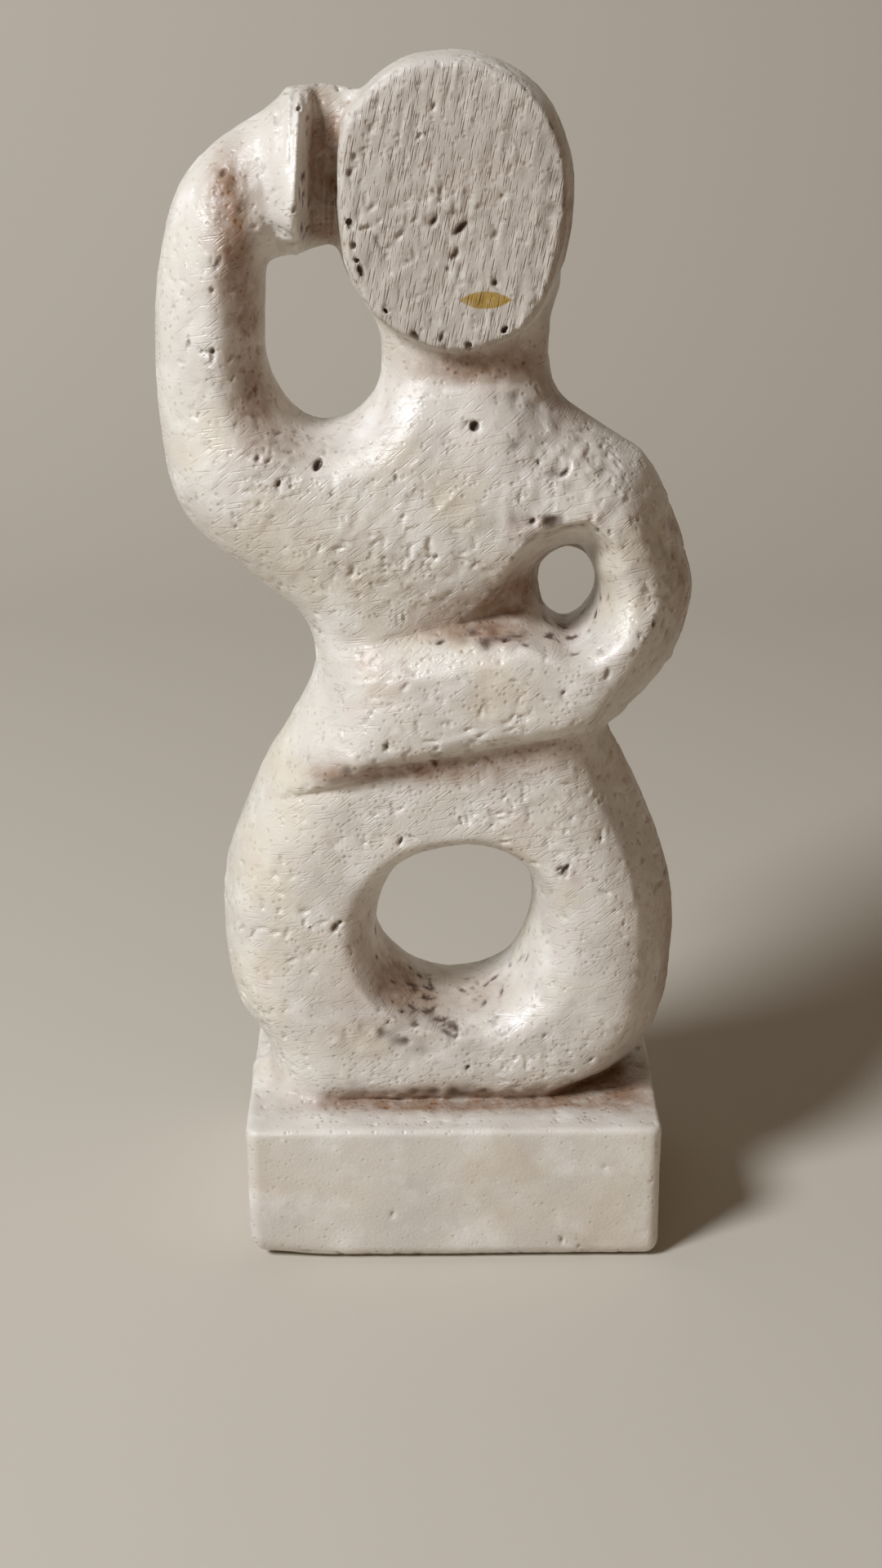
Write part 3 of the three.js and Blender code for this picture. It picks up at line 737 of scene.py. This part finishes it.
# brown painted on at these places, partly glaze left in the real stone and mostly painted shade on the
# shaded right sides, in the recesses and under the chin, with painted shadow on the block and along the
# foot's crease: middle, spread, how much
glazeAndShadePlaces = [
    ((-19.8, -5, 183), (2.2, 9, 15), 1.2), ((-33.8, -10, 180), (3, 8, 8), 1.1),
    ((-33, -11, 170), (3, 8, 7), 0.7), ((-31, -9, 160), (3, 8, 14), 1),
    ((-28, -9, 148), (5, 8, 5), 0.5), ((10, -9, 117), (8, 8, 5), 1.3),
    ((5, -13, 112.5), (8, 4, 2), 0.8), ((-11, -8, 46.5), (9, 8, 5.5), 1.2),
    ((-16, -11, 57), (4, 7, 8), 0.5), ((3, -6, 44), (9, 9, 3), 0.6),
    ((6, -9, 154.5), (12, 5, 3), 1), ((17.5, -7, 154), (3, 8, 8), 1.1),
    # painted shadow: cast on the block's top to the right of the ring, and the dark line along the crease
    # at the foot
    ((30, -9, 26.5), (8, 10, 1.5), 1.2), ((3, -16.6, 27), (22, 0.9, 0.9), 1.2),
    ((40, -4, 52), (4, 9, 26), 0.8), ((39.5, -5, 115), (3.5, 9, 14), 0.7),
    ((20, -4, 176), (3, 9, 24), 1.6), ((-7, -16, 89.2), (22, 4, 2.4), 1.1),
    ((16, -16, 92.5), (10, 4, 2), 0.6), ((25, -14, 4), (12, 14, 3), 0.3),
    ((-24, -12, 142), (6, 6, 4), 0.3),
]


# how far round a place the stone is looked for, in cells of the thinned grid
sheltering = {"thinning": 4, "near": 2, "wide": 4}


def storeOnPoints(mesh, name, values):
    attribute = mesh.attributes.new(name, "FLOAT", "POINT")
    attribute.data.foreach_set("value", np.asarray(values, np.float32))


# what the finish depends on, kept on the mesh's points
points = np.empty(3 * len(fineMesh.vertices), np.float32)
fineMesh.vertices.foreach_get("co", points)
points = points.reshape(-1, 3) / mm
every = sheltering["thinning"]
coarseLines = [line[::every] for line in lines]
solid = (smoothField[::every, ::every, ::every] > 0).astype(np.float32)
near, wide = blurred(solid, sheltering["near"], 2), blurred(solid, sheltering["wide"], 2)
x, y, z = points.T
storeOnPoints(fineMesh, "poreDepth", smoothStep(sample(smoothField, lines, points), 0.25, 0.95))
# how enclosed each place is, near and wide: the finish paints shade into the enclosed places with these
# maps
storeOnPoints(fineMesh, "hollow", 2 * (sample(near, coarseLines, points) - 0.5))
storeOnPoints(fineMesh, "shelter", 2 * (sample(wide, coarseLines, points) - 0.5))
# brown that is part glaze and part painted shade, summed from the listed places
patinaAndShade = sum(amount * within(points, middle, spread) for middle, spread, amount in glazeAndShadePlaces)
storeOnPoints(fineMesh, "patinaAndShade", np.minimum(patinaAndShade, 1.4))
storeOnPoints(fineMesh, "filed", faceShare(x, y, z))
storeOnPoints(fineMesh, "tooled", smoothStep(z, 27, 31) * (1 - faceShare(x, y, z)))
print("finish maps done")


def linear(hexColour):
    values = [int(hexColour[index : index + 2], 16) / 255 for index in (1, 3, 5)]
    return [
        value / 12.92 if value <= 0.04045 else ((value + 0.055) / 1.055) ** 2.4 for value in values
    ] + [1]


def addNode(tree, kind, settings=None, links=None):
    node = tree.nodes.new(kind)
    for name, value in (settings or {}).items():
        if name in node.inputs:
            node.inputs[name].default_value = value
        else:
            setattr(node, name, value)
    for name, source in (links or {}).items():
        tree.links.new(source, node.inputs[name])
    return node


# Porous limestone, hand-rasped, rubbed with a brown glaze that was wiped off again, and varnished: a
# chalky body, brown glaze left in its pores, brown in its hollows that is painted shade as well as glaze,
# and a clear film that gives the eye wet glints.
stoneFinish = {
    "cream": "#dad3c7",
    "grey": "#cfc8be",
    "pale": "#e9e5dd",
    "ochre": "#cfc1a2",
    "rose": "#cdb5aa",
    "filed": "#b4ada1",  # the rasped face took no rubbing
    "patinaAndShade": "#86603f",
    "poreFloor": "#4a3122",
    "leafStain": "#a08030",
    "mottle": 14,  # mm
    "grain": 0.55,  # mm, drawn coarser than the real grain of about 0.3 mm so that it shows
    "pit": 1.1,  # mm from one small pit to the next
    "scratch": (0.4, 4.2),  # mm wide and long, the width drawn coarser than a rasp's teeth leave
    "relief": 0.2,  # mm
    "roughness": 0.44,
    "varnish": 0.5,
    "varnishRoughness": 0.17,
    "leafMiddle": (5.2, 165.2),
    "leafHalf": (4.1, 1.35),
}


def porousStone():
    material = bpy.data.materials.new("varnishedPorousLimestone")
    material.use_nodes = True
    tree = material.node_tree
    tree.nodes.clear()
    place = addNode(tree, "ShaderNodeTexCoord").outputs["Object"]

    def mask(name):
        return addNode(tree, "ShaderNodeAttribute", {"attribute_name": name}).outputs["Fac"]

    def noise(size, detail=3, roughness=0.55, source=place):
        settings = {"Scale": 1 / (size * mm), "Detail": detail, "Roughness": roughness}
        return addNode(tree, "ShaderNodeTexNoise", settings, {"Vector": source}).outputs["Fac"]

    def ramp(source, *stops):
        node = addNode(tree, "ShaderNodeMapRange", {
            "From Min": stops[0], "From Max": stops[1], "To Min": stops[2], "To Max": stops[3],
        }, {"Value": source})
        return node.outputs["Result"]

    def combine(operation, first, second):
        node = addNode(tree, "ShaderNodeMath", {"operation": operation, "use_clamp": True})
        for socket, value in zip(node.inputs, (first, second)):
            if isinstance(value, (int, float)):
                socket.default_value = value
            else:
                tree.links.new(value, socket)
        return node.outputs[0]

    def blend(factor, first, second, way="MIX"):
        node = addNode(tree, "ShaderNodeMix", {"data_type": "RGBA", "blend_type": way})
        for socket, value in zip((node.inputs[0], node.inputs[6], node.inputs[7]), (factor, first, second)):
            if isinstance(value, bpy.types.NodeSocket):
                tree.links.new(value, socket)
            else:
                socket.default_value = value
        return node.outputs[2]

    def drawnOut(lean, across, along, middle=(0, 0)):
        # a space stretched along a direction that leans this many degrees from upright
        return addNode(tree, "ShaderNodeMapping", {
            "vector_type": "TEXTURE", "Location": (middle[0] * mm, 0, middle[1] * mm),
            "Rotation": (0, math.radians(lean), 0), "Scale": (across * mm, 30 * across * mm, along * mm),
        }, {"Vector": place}).outputs["Vector"]

    def marks(source, size, low, high):
        # separate marks, one to a cell, kept in the cells whose random value passes the two limits
        cells = addNode(tree, "ShaderNodeTexVoronoi", {"Scale": 1 / size}, {"Vector": source})
        kept = ramp(cells.outputs["Color"], low, high, 0, 1)
        return combine("MULTIPLY", ramp(cells.outputs["Distance"], 0.12, 0.4, 1, 0), kept)

    def tone(name):
        return linear(stoneFinish[name])

    colour = blend(ramp(noise(stoneFinish["mottle"]), 0.35, 0.62, 0, 1), tone("grey"), tone("cream"))
    colour = blend(ramp(noise(stoneFinish["mottle"] * 0.6, 4), 0.5, 0.7, 0, 0.85), colour, tone("pale"))
    colour = blend(ramp(noise(stoneFinish["mottle"] * 1.5, 2), 0.55, 0.75, 0, 0.5), colour, tone("ochre"))
    colour = blend(ramp(noise(stoneFinish["mottle"] * 0.8, 3), 0.6, 0.75, 0, 0.35), colour, tone("rose"))
    streaks = noise(1, 2, 0.5, drawnOut(12, 1.6, 13))
    filed = blend(ramp(streaks, 0.4, 0.7, 0, 0.4), tone("filed"), tone("rose"))
    colour = blend(combine("MULTIPLY", mask("filed"), 0.8), colour, filed)
    worn = ramp(mask("hollow"), -0.25, -0.8, 0, 0.5)
    colour = blend(worn, colour, tone("pale"))

    pits = marks(place, stoneFinish["pit"] * mm, 0.5, 0.62)
    wide, long = stoneFinish["scratch"]
    raspMarks = marks(drawnOut(12, wide, long), 1, 0.3, 0.6)
    finerRaspMarks = marks(drawnOut(9, 0.7 * wide, 0.6 * long), 1, 0.35, 0.6)
    slanting = marks(drawnOut(52, wide, long), 1, 0.52, 0.66)
    level = marks(drawnOut(80, wide, 1.4 * long), 1, 0.55, 0.68)
    filedScratches = combine("MULTIPLY", combine("MAXIMUM", raspMarks, finerRaspMarks), mask("filed"))
    otherScratches = combine("MULTIPLY", combine("MAXIMUM", slanting, level), mask("tooled"))

    broken = noise(5, 6, 0.7)
    # painted shade: the hollow and shelter maps darken the enclosed places towards the brown, with the
    # listed glaze and shade places; the pits and scratches hold real glaze
    hollow = ramp(mask("hollow"), 0.1, 0.7, 0, 0.7)
    shelter = ramp(mask("shelter"), 0.12, 0.7, 0, 0.45)
    dirtAndShade = combine("ADD", combine("ADD", mask("patinaAndShade"), hollow), shelter)
    dirtAndShade = combine("MULTIPLY", dirtAndShade, ramp(broken, 0.3, 0.62, 0.4, 1.15))
    inMarks = combine("ADD", combine("MULTIPLY", pits, 0.35), combine("MULTIPLY", filedScratches, 0.55))
    inMarks = combine("ADD", inMarks, combine("MULTIPLY", otherScratches, 0.16))
    inMarks = combine("MULTIPLY", inMarks, ramp(broken, 0.4, 0.7, 0.3, 1))
    dirtAndShade = combine("ADD", combine("MULTIPLY", dirtAndShade, 0.85), inMarks)
    # the brown goes on here: glaze in the marks, painted shade in the hollows and on the shaded sides
    colour = blend(dirtAndShade, colour, tone("patinaAndShade"))

    # the ochre leaf on the chin, between two arcs
    halfLength, halfHeight = stoneFinish["leafHalf"]
    radius = (halfLength**2 + halfHeight**2) / (2 * halfHeight)
    arcs = []
    for side in (-1, 1):
        middle = (stoneFinish["leafMiddle"][0], stoneFinish["leafMiddle"][1] + side * (radius - halfHeight))
        space = drawnOut(0, 2 * radius, 2 * radius, middle)
        arc = addNode(tree, "ShaderNodeTexGradient", {"gradient_type": "SPHERICAL"}, {"Vector": space})
        arcs.append(arc.outputs["Fac"])
    leaf = ramp(combine("MINIMUM", *arcs), 0.495, 0.51, 0, 0.95)
    leafWear = ramp(noise(1.5, 4), 0.25, 0.5, 0.6, 1)
    leaf = combine("MULTIPLY", combine("MULTIPLY", leaf, mask("filed")), leafWear)
    colour = blend(leaf, colour, tone("leafStain"))
    colour = blend(combine("MULTIPLY", mask("poreDepth"), 0.92), colour, tone("poreFloor"))

    roughness = combine("ADD", ramp(noise(5, 4), 0.3, 0.7, 0, 0.16), stoneFinish["roughness"] - 0.08)
    roughness = combine("ADD", roughness, combine("MULTIPLY", mask("filed"), 0.16))
    roughness = combine("ADD", roughness, combine("MULTIPLY", mask("poreDepth"), 0.35))
    varnish = combine("MULTIPLY", ramp(noise(9, 3), 0.35, 0.6, 0.25, 1), stoneFinish["varnish"])
    varnish = combine("MULTIPLY", varnish, ramp(mask("filed"), 0, 1, 1, 0.25))
    grain = combine("MULTIPLY", noise(stoneFinish["grain"], 4, 0.7), 0.45)
    height = combine("SUBTRACT", combine("ADD", grain, 0.5), combine("MULTIPLY", pits, 0.45))
    height = combine("SUBTRACT", height, combine("MULTIPLY", filedScratches, 0.6))
    height = combine("SUBTRACT", height, combine("MULTIPLY", otherScratches, 0.24))
    relief = {"Strength": 1, "Distance": stoneFinish["relief"] * mm}
    raised = addNode(tree, "ShaderNodeBump", relief, {"Height": height}).outputs["Normal"]
    shader = addNode(tree, "ShaderNodeBsdfPrincipled", {
        "IOR": 1.5, "Coat Roughness": stoneFinish["varnishRoughness"], "Coat IOR": 1.5,
    }, {
        "Base Color": colour, "Roughness": roughness, "Coat Weight": varnish,
        "Normal": raised, "Coat Normal": raised,
    })
    addNode(tree, "ShaderNodeOutputMaterial", None, {"Surface": shader.outputs["BSDF"]})
    return material


figurine.data.materials.append(porousStone())
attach(figurine, "root")
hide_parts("figurine")


# metres and watts
studio = {
    "floor": {"back": 0.35, "bend": 0.3, "height": 1.4, "half": 1.6, "front": -1.2, "colour": "#c4bcae"},
    "world": {"colour": "#c8b39c", "strength": 0.17},
    "lights": {
        "windowLight": {"place": (-0.74, -0.57, 0.88), "size": 0.34, "power": 17, "colour": "#f4f8ff"},
        "warmFill": {"place": (0.8, -0.8, 0.3), "size": 0.8, "power": 0.9, "colour": "#e0a878"},
    },
}


def makeCamera():
    data = bpy.data.cameras.new("camera")
    data.lens = cameraSet["lens"]
    data.sensor_width = 36
    data.clip_start = 0.01
    camera = bpy.data.objects.new("camera", data)
    bpy.context.scene.collection.objects.link(camera)
    down, side = math.radians(cameraSet["downwards"]), math.radians(cameraSet["sideways"])
    forward = Vector((math.sin(side) * math.cos(down), math.cos(side) * math.cos(down), -math.sin(down)))
    right = Vector((math.cos(side), -math.sin(side), 0))
    up = right.cross(forward)
    turn = Matrix((right, up, -forward)).transposed()
    roll = Matrix.Rotation(-math.radians(cameraSet["roll"]), 3, "Z")
    camera.matrix_world = Matrix.Translation(cameraSet["place"]) @ (turn @ roll).to_4x4()
    bpy.context.scene.camera = camera


def makeFloor():
    # a pale board that curves up behind the figurine, so that no edge crosses the view
    board = studio["floor"]
    back, bend = board["back"], board["bend"]
    profile = [(board["front"], 0), (back, 0)]
    for angle in np.linspace(0.1, math.pi / 2, 14):
        profile.append((back + bend * math.sin(angle), bend - bend * math.cos(angle)))
    profile.append((back + bend, board["height"]))
    points = [(x, y, z) for y, z in profile for x in (-board["half"], board["half"])]
    faces = [(2 * row, 2 * row + 1, 2 * row + 3, 2 * row + 2) for row in range(len(profile) - 1)]
    floor = meshObject("paleFloor", np.array(points), np.array(faces))
    floor.data.shade_smooth()
    material = bpy.data.materials.new("paleBoard")
    material.use_nodes = True
    shader = material.node_tree.nodes["Principled BSDF"]
    shader.inputs["Base Color"].default_value = linear(board["colour"])
    shader.inputs["Roughness"].default_value = 0.75
    floor.data.materials.append(material)


def areaLight(name, target, values):
    data = bpy.data.lights.new(name, "AREA")
    data.shape = "DISK"
    data.size = values["size"]
    data.energy = values["power"]
    data.color = linear(values["colour"])[:3]
    light = bpy.data.objects.new(name, data)
    light.location = values["place"]
    light.rotation_euler = (Vector(target) - light.location).to_track_quat("-Z", "Y").to_euler()
    bpy.context.scene.collection.objects.link(light)


makeCamera()
makeFloor()
middle = (cadBox[0] + cadBox[1]) / 2
for name, values in studio["lights"].items():
    areaLight(name, middle, values)
world = bpy.data.worlds.new("studio")
world.use_nodes = True
background = world.node_tree.nodes["Background"].inputs
background["Color"].default_value = linear(studio["world"]["colour"])
background["Strength"].default_value = studio["world"]["strength"]
bpy.context.scene.world = world
bpy.context.scene.view_settings.view_transform = "Standard"
